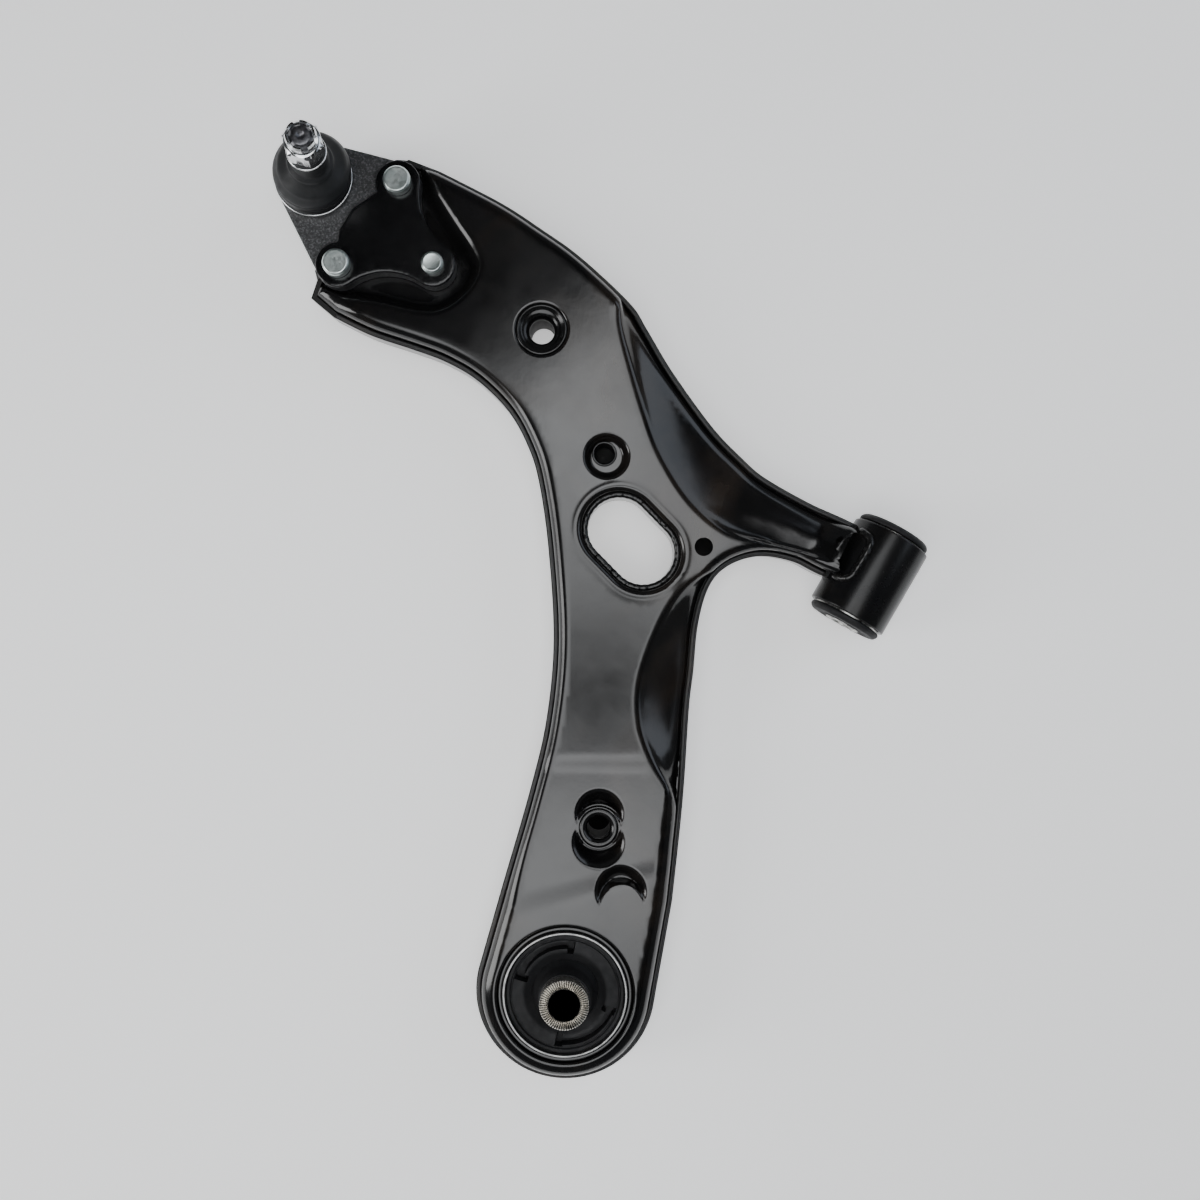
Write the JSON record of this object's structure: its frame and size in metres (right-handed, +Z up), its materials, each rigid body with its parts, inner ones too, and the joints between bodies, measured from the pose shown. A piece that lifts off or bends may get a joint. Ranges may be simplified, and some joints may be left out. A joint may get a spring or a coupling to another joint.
{
  "type": "suspension control arm",
  "caption": "Front lower suspension control arm: pressed box section, horizontal front bush, vertical rear bush and a bolted ball joint with dust boot and castle nut.",
  "frame": {"origin": "on the axis of the rear bush's bolt hole, at the middle plane of the pressed box", "axes": "+Z up the rear bush's bolt hole, on the side the ball stud points to; +Y along the front bush's bolt hole, from the rear bush towards the front one"},
  "size_m": [0.421, 0.4128, 0.1025],
  "materials": {
    "black_paint": "gloss black dip paint with faint orange peel",
    "forging": "black coated forging with a rough grain",
    "bare_steel": "machined steel",
    "zinc_plate": "bright zinc plate",
    "bush_rubber": "matt moulded rubber",
    "boot_rubber": "satin moulded rubber",
    "seat_plastic": "natural acetal"
  },
  "bodies": {
    "arm": {"upper_shell": "black_paint", "lower_shell": "black_paint", "seam_weld": "black_paint", "window_weld": "black_paint", "front_collar": "black_paint", "link_collar": "black_paint", "rear_collar": "black_paint", "front_bush_tube": "black_paint", "tube_weld": "black_paint", "front_outer_sleeve": "bare_steel", "front_rubber": "bush_rubber", "rear_housing": "black_paint", "rear_outer_ring": "bare_steel", "rear_rubber": "bush_rubber", "ball_housing": "forging", "socket_cap": "forging", "ball_seat": "seat_plastic", "boot_clamp_ring": "zinc_plate", "boot_bell": "boot_rubber", "press_studs": "zinc_plate", "stud_nuts": "zinc_plate", "clamp_bolt": "zinc_plate"},
    "front_sleeve": {"front_inner_sleeve": "bare_steel"},
    "rear_sleeve": {"rear_inner_sleeve": "bare_steel", "rear_rubber_core": "bush_rubber"},
    "boot_middle": {"boot_waist": "boot_rubber"},
    "boot_top": {"boot_neck": "boot_rubber", "boot_spring_ring": "zinc_plate"},
    "stud": {"ball_stud": "bare_steel", "castle_nut": "zinc_plate"}
  },
  "joints": [
    {"name": "front_bush_twist", "type": "hinge", "parent": "arm", "child": "front_sleeve", "pos_m": [0.033, 0.2855, -0.004], "axis": [0, 1, 0], "range_deg": [-15, 15], "stiffness_Nm_per_rad": 40},
    {"name": "rear_bush_tilt", "type": "hinge", "parent": "arm", "child": "rear_sleeve", "pos_m": [0, 0, 0], "axis": [0, 1, 0], "range_deg": [-10, 10], "stiffness_Nm_per_rad": 60},
    {"name": "ball_swing", "type": "hinge", "parent": "arm", "child": "boot_middle", "pos_m": [-0.3435, 0.32, 0.003], "axis": [0, 1, 0], "range_deg": [-23.5, 16.5], "deforming": ["boot_bell", "boot_waist"]},
    {"name": "ball_rake", "type": "hinge", "parent": "boot_middle", "child": "boot_top", "pos_m": [-0.3435, 0.32, 0.003], "axis": [1, 0, 0], "range_deg": [-16, 24], "deforming": ["boot_neck"]},
    {"name": "stud_spin", "type": "hinge", "parent": "boot_top", "child": "stud", "pos_m": [-0.3435, 0.32, 0.003], "axis": [0.0642, 0.0688, 0.9956], "continuous": true}
  ]
}
